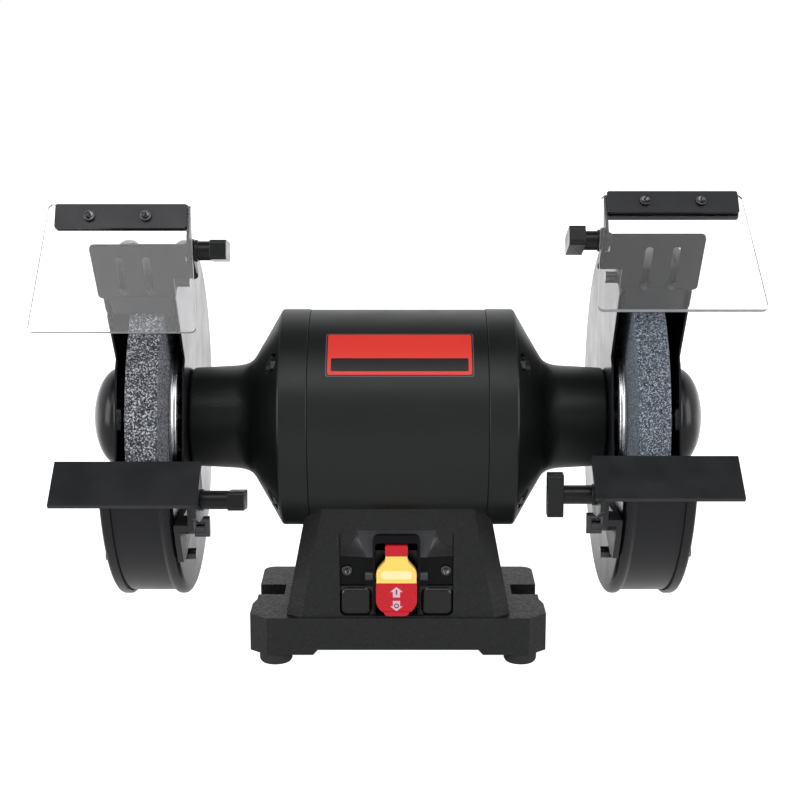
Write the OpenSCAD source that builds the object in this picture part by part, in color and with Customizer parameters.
/* [Motor] */
// Height of the spindle axis above the bench
axis_h = 157; // [156:1:158]
// Diameter of the motor shell
shell_d = 144; // [143:0.5:144.5]
// Half of the shell's visible length
shell_half = 58; // [57:0.5:59]

/* [Wheels] */
// Diameter of the grinding wheels
wheel_d = 200; // [180:1:201]
// Inner face of each wheel, from the middle of the spindle
wheel_x = 147.8; // [147.6:0.1:148]
// Width of the wheels
wheel_w = 20; // [18:0.5:20]

/* [Guards] */
// Diameter over the guard's rolled rim
rim_d = 236; // [235:0.5:237]
// Angle above the front horizontal where the guard ends and the spark arrestor stands
split_angle = 53.5; // [52:0.5:54]
// Turn of the two guards on the motor, left one forwards and right one backwards
clock = 1; // [0:0.1:1.5]

/* [Eye shields] */
// Slope of the left shield from the horizontal
left_slope = 61; // [50:0.1:62]
// Slope of the right shield from the horizontal
right_slope = 50.8; // [50:0.1:58]
// Length of the shield down its slope
shield_len = 80; // [76:0.5:84]

/* [Tool rests] */
// Slope of the tool rest's plate
rest_slope = 36; // [34:1:38]
// Width of the tool rest's plate
rest_w = 90; // [86:1:92]

/* [Base] */
// Height of the rubber feet
foot_h = 7.5; // [7:0.5:8]
// Height of the base's flange above the bench
flange_top = 33; // [32:1:34]
// Distance between the two bench bolts
bolt_spacing = 172; // [171:0.5:173]

/* [Hidden] */
$fn = 64;
left = -1;
right = 1;

gap = 0.3;                       // air between pieces that move past each other
fit = 0.06;                      // radial play of a stud in its bore
sheet = 1.5;                     // guard sheet steel
shell_r = shell_d / 2;
shell_in = shell_r - 3.5;
wheel_r = wheel_d / 2;
spindle_r = 7.94;
journal_r = 8.5;
race_r = 20;
bearing_x = 116;                 // inner face of each bearing
bearing_w = 12;
neck_x = 137.7;                  // end face of each end bell, where the guard sits
tie_r = 63.5;                    // pitch radius of the tie bolts
core_half = 35;
plate_x = neck_x + sheet;        // wheel side of the guard's inner plate
rim_r = rim_d / 2;
band_r = rim_r - 2.4;
cover_x = 182.6;                 // outer face of the guard's cover
cover_screw_r = 108;
cover_screw_angles = [-40, -110, 180, 110];
rivet_places = [[-48, 99.6], [-56.5, -77.9]];
wing_y = -80;
wing_z = -52;
knob_y = -105;                   // axis of the tool rest's tilt
knob_z = -27;
slot_x = [151.8, 168.5];         // the arrestor's two slots and screws
slot_u = [123.9, 152.8];
pivot_u = 162.9;                 // axis of the right eye shield, out from the spindle
left_drop = 3;                   // how much lower the left arrestor stands
pivot_v = 3.9;                   // and forward of the guard's end
shield_n = 7.5;                  // back face of the shield, forward of its pivot
shield_t = 3;
shield_top = 25.6;
ped_x = 74;                      // half width of the pedestal where it meets the flange
ped_taper = 0.191;
ped_front = -52;
ped_rear = 50;
wall = 5;
skirt_z = 11;
foot_x = 81.4;
foot_y = 42;
switch_x = -1;
panel_z = [34.6, 92.4];
paddle_y = -50;                  // hinge of the switch paddle
paddle_z = 61.5;
paddle_w = 26.8;
panel_screw_x = 32.4;
panel_screw_z = 65.2;
cap_y = 16;
cap_z = 46;

// Places children with the spindle axis as X
module at_axis() translate([0, 0, axis_h]) children();

// Mirrors children, drawn for the right side, to the left side when asked
module on_side(side) at_axis() mirror([side < 0 ? 1 : 0, 0, 0]) children();

// The same, turned with the guard
module on_guard(side)
    at_axis() rotate([-side * clock, 0, 0]) mirror([side < 0 ? 1 : 0, 0, 0]) children();

// Frame of the spark arrestor: Z runs out from the spindle and -Y is forwards
module arrestor_frame() rotate([90 - split_angle, 0, 0]) children();

// Frame of the eye shield: origin on its pivot, Z up the shield and -Y out of it
module shield_frame(side)
    arrestor_frame() translate([0, -pivot_v, pivot_u - drop(side)]) rotate([split_angle - 90, 0, 0])
        rotate([(side < 0 ? left_slope : right_slope) - 90, 0, 0]) children();

function drop(side) = side < 0 ? left_drop : 0;

// Solid of revolution about X; points are [radius, x]
module lathe(points) rotate([0, 90, 0]) rotate_extrude() polygon(points);

module ring(x0, x1, outer, inner)
    lathe([[inner, x0], [outer, x0], [outer, x1], [inner, x1]]);

module rod(x0, x1, r, y = 0, z = 0)
    translate([x0, y, z]) rotate([0, 90, 0]) cylinder(h = x1 - x0, r = r);

module hex_x(x0, x1, flats, y = 0, z = 0)
    translate([x0, y, z]) rotate([0, 90, 0]) cylinder(h = x1 - x0, d = flats / cos(30), $fn = 6);

// Plate square to X with its outline in [y, z]
module slab(x0, x1) translate([x0, 0, 0]) rotate([90, 0, 90]) linear_extrude(x1 - x0) children();

// Block between two corners
module block(a, b) translate(a) cube(b - a);

// Rectangle with round corners
module soft_rect(a, b, r) {
    for (x = [a[0] + r, b[0] - r], y = [a[1] + r, b[1] - r]) translate([x, y]) circle(r);
    translate([a[0] + r, a[1]]) square([b[0] - a[0] - 2 * r, b[1] - a[1]]);
    translate([a[0], a[1] + r]) square([b[0] - a[0], b[1] - a[1] - 2 * r]);
}

// Plate square to Y, from y0 back to y1, with its outline in [x, z]
module wall_y(y0, y1) translate([0, y1, 0]) rotate([90, 0, 0]) linear_extrude(y1 - y0) children();

// Angles of four fasteners round the spindle
quarter = [45, 135, 225, 315];

// ---- Base ----

// Half outline of the flange, drawn in by i
function flange_half(i) = [[86.6 - 0.6 * i, i - 53.5], [98.3 - i, 0.6 * i - 43.4], [98.2 - i, -24],
    [95.8 - i, -15], for (a = [0:15:90]) [88 + (8 - i) * cos(a), 48.5 + (8 - i) * sin(a)]];

module flange_outline(i) {
    half = flange_half(i);
    polygon(concat(half, [for (k = [len(half) - 1:-1:0]) [-half[k][0], half[k][1]]]));
}

// Outline of the pedestal at height z, drawn in by i
module pedestal_outline(z, i) {
    w = ped_x - ped_taper * (z - flange_top) - i;
    polygon([[10.4 - w, ped_front + i], [w - 10.4, ped_front + i], [w, ped_front + i + 7.2],
        [w, ped_rear - i], [-w, ped_rear - i], [-w, ped_front + i + 7.2]]);
}

module pedestal(z0, z1, i) hull() for (z = [z0, z1 - 0.01])
    translate([0, 0, z]) linear_extrude(0.01) pedestal_outline(z, i);

module bench_slot(side)
    translate([side * bolt_spacing / 2, 5, skirt_z]) {
        for (x = [-2.5, 2.5]) translate([x, 0, -5]) cylinder(h = 20, r = 4.5);
        translate([-2.5, -4.5, -5]) cube([5, 9, 20]);
    }

module base_casting() color("#26272a") difference() {
    union() {
        translate([0, 0, foot_h]) linear_extrude(flange_top - foot_h) flange_outline(0);
        pedestal(flange_top - 1, 112, 0);
    }
    // Underside raised between the corner pads
    wall_y(-60, 60) polygon([[-57, foot_h - 1], [-53, skirt_z], [53, skirt_z], [57, foot_h - 1]]);
    at_axis() rod(-100, 100, shell_r);
    for (s = [left, right]) at_axis() rod(s * 79 - 21, s * 79 + 21, shell_r + 0.6);
    // Hollow flange, pedestal and the hatch below
    difference() {
        translate([0, 0, 14]) linear_extrude(14) flange_outline(wall);
        for (s = [left, right]) {
            block([s * 84 - 12, -9, 13], [s * 84 + 12, 20, 29]);
            for (y = [-foot_y, foot_y]) translate([s * foot_x, y, 13]) cylinder(h = 16, r = 7);
        }
    }
    difference() {
        pedestal(16, 111, wall);
        at_axis() rod(-100, 100, shell_r + 6.6);
        for (s = [left, right]) translate([switch_x + s * panel_screw_x - 5, -48, 58]) cube([10, 10, 14]);
    }
    block([-44, -38, 5], [44, 38, 17]);
    // Bolt pockets in the two sides
    for (s = [left, right]) {
        block([s * 88 - 10, -5, 20], [s * 88 + 10, 16, flange_top + 1]);
        bench_slot(s);
        translate([s * 38, 0, 60]) cylinder(h = 30, r = 4);
        for (y = [-foot_y, foot_y]) translate([s * foot_x, y, 0]) cylinder(h = 24, r = 2.5);
        for (y = [-41, 41]) translate([s * 47, y, 5]) cylinder(h = 20, r = 2);
        wall_y(-48, -38) translate([switch_x + s * panel_screw_x, panel_screw_z]) circle(2);
    }
    wall_y(-60, -46) translate([switch_x, 0]) soft_rect([-37.25, 34.2], [37.25, 92.8], 4);
    wall_y(40, 60) translate([0, 48]) circle(6.5);
}

module base_cover() color("#3a3b3e") difference() {
    translate([0, 0, skirt_z - 1.5]) linear_extrude(1.5) soft_rect([-51, -45], [51, 45], 4);
    for (x = [-47, 47], y = [-41, 41]) translate([x, y, 0]) cylinder(h = 20, r = 2);
    for (x = [-24:8:24]) block([x - 1.5, -14, 5], [x + 1.5, 14, 15]);
}

module rubber_feet() color("#1b1b1c")
    for (x = [-foot_x, foot_x], y = [-foot_y, foot_y]) translate([x, y, 0]) difference() {
        union() {
            cylinder(h = 2, r1 = 9.9, r2 = 10.9);
            translate([0, 0, 2]) cylinder(h = foot_h - 2, r = 10.9);
        }
        translate([0, 0, -1]) cylinder(h = 4.5, r = 5);
        cylinder(h = foot_h + 1, r = 2.5);
    }

module base_screws() color("#8b8d90") {
    for (x = [-foot_x, foot_x], y = [-foot_y, foot_y]) translate([x, y, 0]) {
        translate([0, 0, 1]) cylinder(h = 2.5, r = 4.5);
        translate([0, 0, 3.5]) cylinder(h = 18, r = 2.5);
    }
    for (x = [-47, 47], y = [-41, 41]) translate([x, y, 0]) {
        translate([0, 0, skirt_z - 3.4]) cylinder(h = 1.9, r = 3.6);
        translate([0, 0, skirt_z - 1.5]) cylinder(h = 6, r = 2);
    }
}

module motor_bolts() color("#9a9ca0") for (s = [left, right]) translate([s * 38, 0, 0]) {
    translate([0, 0, 72.9]) cylinder(h = 5.5, d = 13 / cos(30), $fn = 6);
    translate([0, 0, 78.4]) cylinder(h = 9.9, r = 4);
}

module cord_gland() color("#202022") difference() {
    translate([0, 0, 48]) rotate([-90, 0, 0]) {
        translate([0, 0, 42]) cylinder(h = 3, d = 17 / cos(30), $fn = 6);
        translate([0, 0, 42]) cylinder(h = 12, r = 6.5);
        translate([0, 0, ped_rear]) cylinder(h = 4, d = 17 / cos(30), $fn = 6);
        translate([0, 0, 54]) cylinder(h = 9, r1 = 7.6, r2 = 6);
    }
    wall_y(30, 80) translate([0, 48]) circle(3.75);
}

module run_capacitor() color("#c9ccd0") translate([0, cap_y, cap_z]) {
    rod(-40, 40, 19);
    for (y = [-6, 6]) translate([40, y - 3, -0.4]) cube([9, 6, 0.8]);
}

module capacitor_clamp() color("#a6a8ab") difference() {
    translate([-24, cap_y, cap_z]) {
        rod(-6, 6, 20.2);
        block([-6, 15, -6], [6, ped_rear - wall - cap_y, 6]);
    }
    translate([-24, cap_y, cap_z]) rod(-7, 7, 19);
}

module terminal_block() color("#e4e2da") difference() {
    block([46, -24, 14], [60, 14, 26]);
    for (y = [-19:7.5:12]) translate([53, y, 20]) cylinder(h = 8, r = 2);
}

// ---- Switch ----

module panel_outline() soft_rect([-36.8, panel_z[0]], [36.8, panel_z[1]], 3.6);

module switch_panel() color("#222326") translate([switch_x, 0, 0]) difference() {
    union() {
        wall_y(-50, -48) panel_outline();
        intersection() {
            wall_y(-53, -49) panel_outline();
            union() {
                block([-36.8, -52.2, 75], [36.8, -49, 93]);
                for (s = [left, right]) wall_y(-51.6, -49)
                    soft_rect([s * 26.2 - 10.2, 34.8], [s * 26.2 + 10.2, 54.2], 3);
            }
        }
        wall_y(-54.4, -48) soft_rect([-15.4, 34.6], [15.4, 89.8], 3.8);
        for (s = [left, right]) rod(s * 17 - 3.4, s * 17 + 3.4, 3.3, -50.6, paddle_z);
    }
    // Scoops in the outer corners of the upper band
    for (s = [left, right]) translate([s * 37, -55, 94]) sphere(15);
    // Well of the paddle
    wall_y(-60, -46) soft_rect([-13.9, 33], [13.9, 84.7], 2);
    // Pin holes and fastening holes
    rod(-22, 22, 2 + fit + 0.02, paddle_y, paddle_z);
    for (s = [left, right])
        wall_y(-60, -40) translate([s * panel_screw_x, panel_screw_z]) circle(2);
}

module panel_screws() color("#1c1c1e")
    for (s = [left, right]) translate([switch_x + s * panel_screw_x, 0, panel_screw_z])
        rotate([-90, 0, 0]) {
            translate([0, 0, -51.8]) cylinder(h = 1.8, r = 3.4);
            translate([0, 0, -50]) cylinder(h = 11, r = 2);
        }

// Outline of the paddle's key, wide below and narrow above
function key_outline(g) = [[-13.4 + g, 56.7 + g], [13.4 - g, 56.7 + g], [13.4 - g, 66.6 - g],
    [7.4 - g, 73.8 - g], [7.4 - g, 75.2 - g], [g - 7.4, 75.2 - g], [g - 7.4, 73.8 - g],
    [g - 13.4, 66.6 - g]];

module switch_paddle() color("#c81f2b") translate([switch_x, 0, 0]) difference() {
    union() {
        wall_y(-51, -47) soft_rect([-13.4, 34.8], [13.4, 76], 2);
        wall_y(-51, -47) soft_rect([-7.4, 70], [7.4, 83.6], 2);
        wall_y(-56, -50) soft_rect([-7.4, 75.4], [7.4, 83.6], 2);
        wall_y(-56, -50) soft_rect([-13.4, 34.8], [13.4, 56.6], 6);
        wall_y(-56, -50) block2([-13.4, 46], [13.4, 56.6]);
        for (s = [left, right]) rod(s * 16.1 - 2.9, s * 16.1 + 2.9, 2, paddle_y, paddle_z);
        block([-4, -50, 56], [4, -45.4, 67]);
    }
    // Pocket that the key's blade goes into
    block([-3.6, -57, 68.6], [3.6, -44, 72.4]);
}

module block2(a, b) translate(a) square(b - a);

module safety_key() color("#f3cb5a") translate([switch_x, 0, 0]) {
    wall_y(-56.6, -51 - gap) polygon(key_outline(gap));
    block([-3.3, -52, 68.9], [3.3, -45.6, 72.1]);
}

module switch_housing() color("#3b3c40") translate([switch_x, 0, 0]) {
    block([-14, -41, 42], [14, -16, 76]);
    block([-17.5, -38, 66], [17.5, -36, 74]);
    for (z = [48, 59, 70], s = [left, right]) block([s * 7 - 3, -16, z - 0.4], [s * 7 + 3, -8, z + 0.4]);
    for (s = [left, right]) block([s * 16 - 1.5, -48, 66], [s * 16 + 1.5, -36, 74]);
}

// ---- Motor ----

module motor_shell() color("#2b2c30") at_axis() difference() {
    ring(-shell_half, shell_half, shell_r, shell_in);
    for (s = [left, right]) translate([s * 38, 0, -shell_r - 1]) cylinder(h = 8, r = 4);
}

module bell_profile() lathe([[0, 52], [shell_in - 0.1, 52], [shell_in - 0.1, shell_half],
    [72.4, shell_half], [72.4, 76], [37, 97], [34.5, 106], [33, 135.5], [31, neck_x], [0, neck_x]]);

module end_bell(side) color("#2b2c30") on_side(side) difference() {
    bell_profile();
    seat = bearing_x + bearing_w + (side > 0 ? 1.2 : 0);
    difference() {
        lathe([[0, 51], [65, 51], [65, 58], [67, 62], [67, 74], [35, 93], [29, 104], [race_r, 108],
            [race_r, seat], [12, seat], [12, 139], [0, 139]]);
        for (a = quarter) rod(66, 90, 8.4, tie_r * cos(a), tie_r * sin(a));
    }
    for (a = quarter) {
        rod(50, 90, 2.7, tie_r * cos(a), tie_r * sin(a));
        rod(77.5, 95, 7, tie_r * cos(a), tie_r * sin(a));
        rotate([-side * clock, 0, 0]) rod(122, 140, 2.5, 26.5 * cos(a), 26.5 * sin(a));
    }
}

module tie_bolts() color("#7d8085") at_axis()
    for (a = quarter) translate([0, tie_r * cos(a), tie_r * sin(a)]) {
        rod(-77.5, 77.5, 2.5);
        for (s = [left, right]) hex_x(s * 79.5 - 2, s * 79.5 + 2, 8);
    }

module stator_core() color("#8d9095") at_axis() difference() {
    ring(-core_half, core_half, shell_in, 40);
    for (a = quarter) rod(-36, 36, 2.6, tie_r * cos(a), tie_r * sin(a));
}

module stator_windings() color("#b5672f") for (s = [left, right]) on_side(s)
    lathe([[43, 35], [60, 35], [60, 50], [57, 54], [46, 54], [43, 50]]);

module rotor_core() color("#9ea1a6") at_axis() {
    ring(-core_half, core_half, 39.5, 12);
    for (s = [left, right]) ring(s * 38 - 3, s * 38 + 3, 38.5, 28);
}

module shaft() color("#b9bcc1") at_axis() lathe([[0, -191], [6.9, -191], [spindle_r, -190],
    [spindle_r, -130], [journal_r, -130], [journal_r, -108], [12, -108], [12, 108],
    [journal_r, 108], [journal_r, 130], [spindle_r, 130], [spindle_r, 190], [6.9, 191], [0, 191]]);

module bearing_outer_races() color("#a9adb3") for (s = [left, right]) on_side(s)
    ring(bearing_x, bearing_x + bearing_w, race_r, 17);

module bearing_inner_races() color("#a9adb3") for (s = [left, right]) on_side(s)
    ring(bearing_x, bearing_x + bearing_w, 11.6, journal_r);

module bearing_balls() color("#d5d8dc") for (s = [left, right], a = [0:45:315]) on_side(s)
    translate([bearing_x + bearing_w / 2, 14.3 * cos(a), 14.3 * sin(a)]) sphere(2.65);

module wave_washer() color("#c3a35a") at_axis()
    ring(bearing_x + bearing_w, bearing_x + bearing_w + 1.2, 19.5, 17);

module nameplate() color("#d8242f") at_axis() intersection() {
    ring(1.1 - 47.25, 1.1 + 47.25, shell_r + 0.4, shell_r);
    slab(-60, 60) polygon([for (p = [[0, 33.2], [90, 33.2], [90, 60.4], [0, 60.4]])
        [-p[0] * cos(p[1]), p[0] * sin(p[1])]]);
}

// ---- Wheels ----

module inner_flanges() color("#d0d3d8") for (s = [left, right]) on_side(s)
    lathe([[spindle_r, 130.2], [11, 130.2], [11, 141], [15, 142], [49, 142], [50.5, 143.2],
        [50.5, 145], [52, 145.4], [52, wheel_x - 0.5], [spindle_r, wheel_x - 0.5]]);

module outer_flanges() color("#d0d3d8") for (s = [left, right]) on_side(s)
    lathe([[spindle_r, wheel_x + wheel_w + 0.5], [52, wheel_x + wheel_w + 0.5],
        [52, wheel_x + wheel_w + 3], [50.5, wheel_x + wheel_w + 5.5],
        [spindle_r, wheel_x + wheel_w + 5.5]]);

module blotters() color("#c9a98a") for (s = [left, right], x = [wheel_x - 0.5, wheel_x + wheel_w])
    on_side(s) ring(x, x + 0.5, 51, spindle_r);

module wheel(side, tint) color(tint) on_side(side)
    lathe([[spindle_r, wheel_x], [wheel_r - 0.8, wheel_x], [wheel_r, wheel_x + 0.8],
        [wheel_r, wheel_x + wheel_w - 0.8], [wheel_r - 0.8, wheel_x + wheel_w],
        [spindle_r, wheel_x + wheel_w]]);

module left_wheel() wheel(left, "#7d8084");

module right_wheel() wheel(right, "#8f9296");

module spindle_nuts() color("#b9bcc1") for (s = [left, right]) on_side(s) difference() {
    hex_x(wheel_x + wheel_w + 5.5, wheel_x + wheel_w + 16, 24);
    rod(160, 195, spindle_r);
}

// ---- Guards ----

// Outline of the opening where the wheel shows, in [y, z]
module opening() {
    polygon([[-34.5, 46.6], 4.4 * [-34.5, 46.6], [-160, 205], [-160, -24], [-63, -24],
        for (a = [15:15:75]) [-63 + 8 * sin(a), -16 - 8 * cos(a)], [-55, -18], [-38.5, 42]]);
}

module guard(side) color("#1d1e20") on_guard(side) {
    difference() {
        union() {
            difference() {
                union() {
                    lathe([[20, neck_x], [rim_r - 5, neck_x], [rim_r - 1.5, 139], [rim_r, 141.5],
                        [rim_r, 145], [band_r, 146.2], [band_r, 180.8], [band_r - sheet, 180.8],
                        [band_r - sheet, 145.5], [rim_r - 1.7, 144.4], [rim_r - 1.7, 141.8],
                        [rim_r - 2.4, 140.4], [rim_r - 5.2, plate_x], [20, plate_x]]);
                    // Ears that take the cover's screws
                    for (a = cover_screw_angles)
                        rod(179.3, 180.8, 7.4, -cover_screw_r * cos(a), cover_screw_r * sin(a));
                }
                slab(130, 190) opening();
            }
            // Flange at the opening's top, behind the spark arrestor
            arrestor_frame() translate([141, 0, band_r - 1]) cube([35, sheet, 20]);
        }
        for (a = quarter) rod(130, 145, 2.5, 26.5 * cos(a), 26.5 * sin(a));
        for (p = rivet_places) rod(130, 145, 2.5, p[0], p[1]);
        rod(130, 150, 3.4, wing_y, wing_z);
        for (a = cover_screw_angles)
            rod(178, 182, 2, -cover_screw_r * cos(a), cover_screw_r * sin(a));
        arrestor_frame() for (x = slot_x) translate([x, 5, 124]) rotate([90, 0, 0]) cylinder(h = 10, r = 2);
    }
    // Weld nut for the wing screw
    difference() {
        hex_x(plate_x, plate_x + 3.8, 10, wing_y, wing_z);
        rod(130, 150, 3 + fit, wing_y, wing_z);
    }
}

module guard_cover(side) color("#1d1e20") on_guard(side) difference() {
    lathe([[rim_r - 1.8, 176.3], [rim_r, 176.3], [rim_r, 180.8], [rim_r - 1.4, cover_x], [38, cover_x],
        [34.5, 183.4], [33, 185.2], for (a = [0:9:90]) [33 * cos(a), 186.5 + 16.8 * sin(a)],
        for (a = [90:-9:0]) [31.7 * cos(a), 186.5 + 15.4 * sin(a)], [31.7, 180.8], [rim_r - 2.4, 180.8], [rim_r - 1.8, 180]]);
    slab(130, 190) opening();
    for (a = cover_screw_angles) rod(178, 184, 2, -cover_screw_r * cos(a), cover_screw_r * sin(a));
}

module cover_screws() color("#2a2a2c") for (s = [left, right], a = cover_screw_angles) on_guard(s)
    translate([0, -cover_screw_r * cos(a), cover_screw_r * sin(a)]) {
        rod(cover_x, cover_x + 2.2, 3.8);
        rod(176.5, cover_x, 2);
    }

module guard_screws() color("#3a3b3d") for (s = [left, right]) on_guard(s) {
    for (a = quarter) translate([0, 26.5 * cos(a), 26.5 * sin(a)]) {
        rod(plate_x, plate_x + 2.4, 4.4);
        rod(124, plate_x, 2.5);
    }
    for (p = rivet_places) translate([0, p[0], p[1]]) {
        rod(131, neck_x, 3.7);
        rod(neck_x, plate_x, 2.5);
        rod(plate_x, plate_x + 2.2, 3);
    }
}

module arrestor_screws() color("#26272a") for (s = [left, right], x = slot_x) on_guard(s)
    arrestor_frame() translate([x, 0, 124]) rotate([90, 0, 0]) {
        translate([0, 0, 2.3 + gap]) cylinder(h = 1.8, r = 3.2);
        translate([0, 0, -5.5]) cylinder(h = 2.3 + gap + 5.5, r = 2);
        translate([0, 0, -5]) cylinder(h = 3.5, d = 7 / cos(30), $fn = 6);
    }

// ---- Tool rests ----

module rest_bracket(side) color("#242528") on_guard(side) difference() {
    union() {
        slab(133.9, 137.4) polygon([[-58, -43], [-58, -62], [-84, -71], [-97, -70], [-108, -54],
            [-113, -41], [-92, -41]]);
        block([125, -113, -45], [137.4, -92, -41]);
        slab(125, 128.5) {
            translate([knob_y, knob_z]) circle(12);
            polygon([[-113, -44], [-92, -44], [-93.4, -30], [-116.6, -30]]);
        }
    }
    rod(120, 140, 3 + fit, knob_y, knob_z);
    // Slot that lets the bracket slide forwards under the wing screw
    for (y = [wing_y, wing_y + 12]) rod(130, 140, 3.3, y, wing_z);
    block([130, wing_y, wing_z - 3.3], [140, wing_y + 12, wing_z + 3.3]);
}

module wing_screw(side) color("#1f2022") on_guard(side) translate([0, wing_y, wing_z]) {
    rod(128, 133.9 - gap, 4.8);
    rod(133, 143.4, 3);
    slab(118.9, 128.6) soft_rect([-2.3, -6.6], [2.3, 6.6], 1.5);
    rod(122, 128, 4.2);
}

module tool_rest(side) color("#1f2022") on_guard(side) difference() {
    union() {
        translate([side < 0 ? 120.4 : 118.4, -104.1, -2.7]) rotate([rest_slope, 0, 0])
            translate([0, -33.8, -3]) cube([rest_w, 33.8, 3]);
        slab(121.4, 124.4) polygon([[-104, -4], [-131, -23.6], [-131, -31], [-112, -39], [-92, -42],
            [-88, -38], [-96, -18], [-102, -5]]);
    }
    rod(110, 130, 3 + fit, knob_y, knob_z);
}

// Knob with a cross bar, on a stud; x runs from the bar's face to the stud's end
module cross_knob(x0, x2, x3, stud_r, turn) {
    rod(x0 + 8.8, x2, 5.8);
    rod(x2 - 2, x2, 6.6);
    rod(x2 - 1, x3, stud_r);
    rotate([turn, 0, 0]) slab(x0, x0 + 9.8) soft_rect([-13.5, -5.9], [13.5, 5.9], 2.6);
}

module rest_knob(side) color("#1a1a1b") on_guard(side) translate([0, knob_y, knob_z])
    cross_knob(side < 0 ? 93.7 : 91.6, 121.4 - gap, 131, 3, side < 0 ? -13 : 90);

// ---- Spark arrestors and eye shields ----

module spark_arrestor(side) color("#1f2022") on_guard(side) arrestor_frame() difference() {
    union() {
        wall_y(-2 - gap, -gap) translate([140.5, 103.5]) square([37, 17]);
        translate([0, 0, -drop(side)]) {
            wall_y(-2 - gap, -gap) {
                soft_rect([137, 119.5], [184.9, 164.4], 3);
                soft_rect([121.6, 137], [160, 164.4], 3);
            }
            slab(121.6, 123.4) {
                translate([-pivot_v, pivot_u]) circle(7.1);
                polygon([[-0.3, 140], [-6, 146], [-10.5, pivot_u - 2.6], [-0.3, 164.4]]);
            }
        }
    }
    translate([0, 0, -drop(side)]) {
        for (x = slot_x) wall_y(-6, 3) {
            for (u = slot_u) translate([x, u]) circle(2.3);
            translate([x - 2.3, slot_u[0]]) square([4.6, slot_u[1] - slot_u[0]]);
        }
        block([123.4, -6, 150], [127.9, 3, 170]);
        rod(120, 130, 2.5 + fit, -pivot_v, pivot_u);
    }
}

// X of the shield's middle, of its two screws, and the screws' height up the shield
function shield_x(side) = side < 0 ? 166 : 164.3;
function shield_screw_x(side) = side < 0 ? [149.5, 183] : [147.8, 181.2];
function shield_screw_z(side) = side < 0 ? 17 : 19.6;

module shield_holes(side) for (x = shield_screw_x(side))
    wall_y(-20, 10) translate([x, shield_screw_z(side)]) circle(2);

module shield_bracket(side) color("#26272a") on_guard(side) shield_frame(side) difference() {
    union() {
        slab(123.8, 125.6) {
            circle(7);
            polygon([[-3, -7], [5, 5], [-shield_n, shield_top], [-shield_n, 6]]);
        }
        wall_y(-shield_n, -shield_n + 1.8) soft_rect([123.8, 10], [203.6, shield_top], 2);
        rod(125.6, 127.4, 4.2);
    }
    rod(120, 130, 2.5 + fit);
    shield_holes(side);
}

// Outline of the shield about its middle, narrow at the top, with round corners
function shield_outline(low) = concat([[42.25, shield_top - 2], [40.25, shield_top],
    [-40.25, shield_top], [-42.25, shield_top - 2]],
    [for (a = [185:17:270]) [-45.1 + 3.2 * cos(a), low + 3.2 + 3.2 * sin(a)]],
    [for (a = [270:17:355]) [47 + 3.2 * cos(a), low + 3.2 + 3.2 * sin(a)]]);

module eye_shield(side) color([0.85, 0.9, 0.93, 0.35]) on_guard(side) shield_frame(side)
    difference() {
        wall_y(-shield_n - shield_t, -shield_n) translate([shield_x(side), 0])
            polygon(shield_outline(shield_top - shield_len));
        shield_holes(side);
    }

module shield_bar(side) color("#303135") on_guard(side) shield_frame(side) difference() {
    top = shield_top + (side < 0 ? -0.6 : 1.6);
    wall_y(-shield_n - shield_t - 2, -shield_n - shield_t)
        soft_rect([125.3, top - 15.4], [203.6, top], 1.5);
    shield_holes(side);
}

module shield_screws(side) color("#1c1c1e") on_guard(side) shield_frame(side)
    for (x = shield_screw_x(side)) translate([x, 0, shield_screw_z(side)]) rotate([90, 0, 0]) {
        translate([0, 0, shield_n + shield_t + 2]) cylinder(h = 2, r = 3.3);
        translate([0, 0, 3.4]) cylinder(h = shield_n + shield_t - 1.4, r = 2);
        translate([0, 0, 2.9]) cylinder(h = shield_n - 1.8 - 2.9, d = 7 / cos(30), $fn = 6);
    }

module shield_knob(side) color("#1a1a1b") on_guard(side) arrestor_frame()
    translate([0, -pivot_v, pivot_u - drop(side)]) rotate([split_angle - 90, 0, 0])
        cross_knob(101.4, 121.6 - gap, 127.6, 2.5, side < 0 ? -12 : -22);

base_casting();
base_cover();
rubber_feet();
base_screws();
switch_panel();
panel_screws();
switch_paddle();
safety_key();
switch_housing();
run_capacitor();
capacitor_clamp();
terminal_block();
cord_gland();
motor_bolts();
motor_shell();
end_bell(left);  // left_end_bell
end_bell(right);  // right_end_bell
tie_bolts();
stator_core();
stator_windings();
nameplate();
bearing_outer_races();
wave_washer();
bearing_inner_races();
bearing_balls();
shaft();
rotor_core();
inner_flanges();
outer_flanges();
blotters();
left_wheel();
right_wheel();
spindle_nuts();
guard(left);  // left_guard
guard(right);  // right_guard
guard_cover(left);  // left_guard_cover
guard_cover(right);  // right_guard_cover
cover_screws();
guard_screws();
arrestor_screws();
rest_bracket(left);  // left_rest_bracket
rest_bracket(right);  // right_rest_bracket
wing_screw(left);  // left_wing_screw
wing_screw(right);  // right_wing_screw
tool_rest(left);  // left_tool_rest
tool_rest(right);  // right_tool_rest
rest_knob(left);  // left_rest_knob
rest_knob(right);  // right_rest_knob
spark_arrestor(left);  // left_spark_arrestor
spark_arrestor(right);  // right_spark_arrestor
shield_bracket(left);  // left_shield_bracket
shield_bracket(right);  // right_shield_bracket
eye_shield(left);  // left_eye_shield
eye_shield(right);  // right_eye_shield
shield_bar(left);  // left_shield_bar
shield_bar(right);  // right_shield_bar
shield_screws(left);  // left_shield_screws
shield_screws(right);  // right_shield_screws
shield_knob(left);  // left_shield_knob
shield_knob(right);  // right_shield_knob
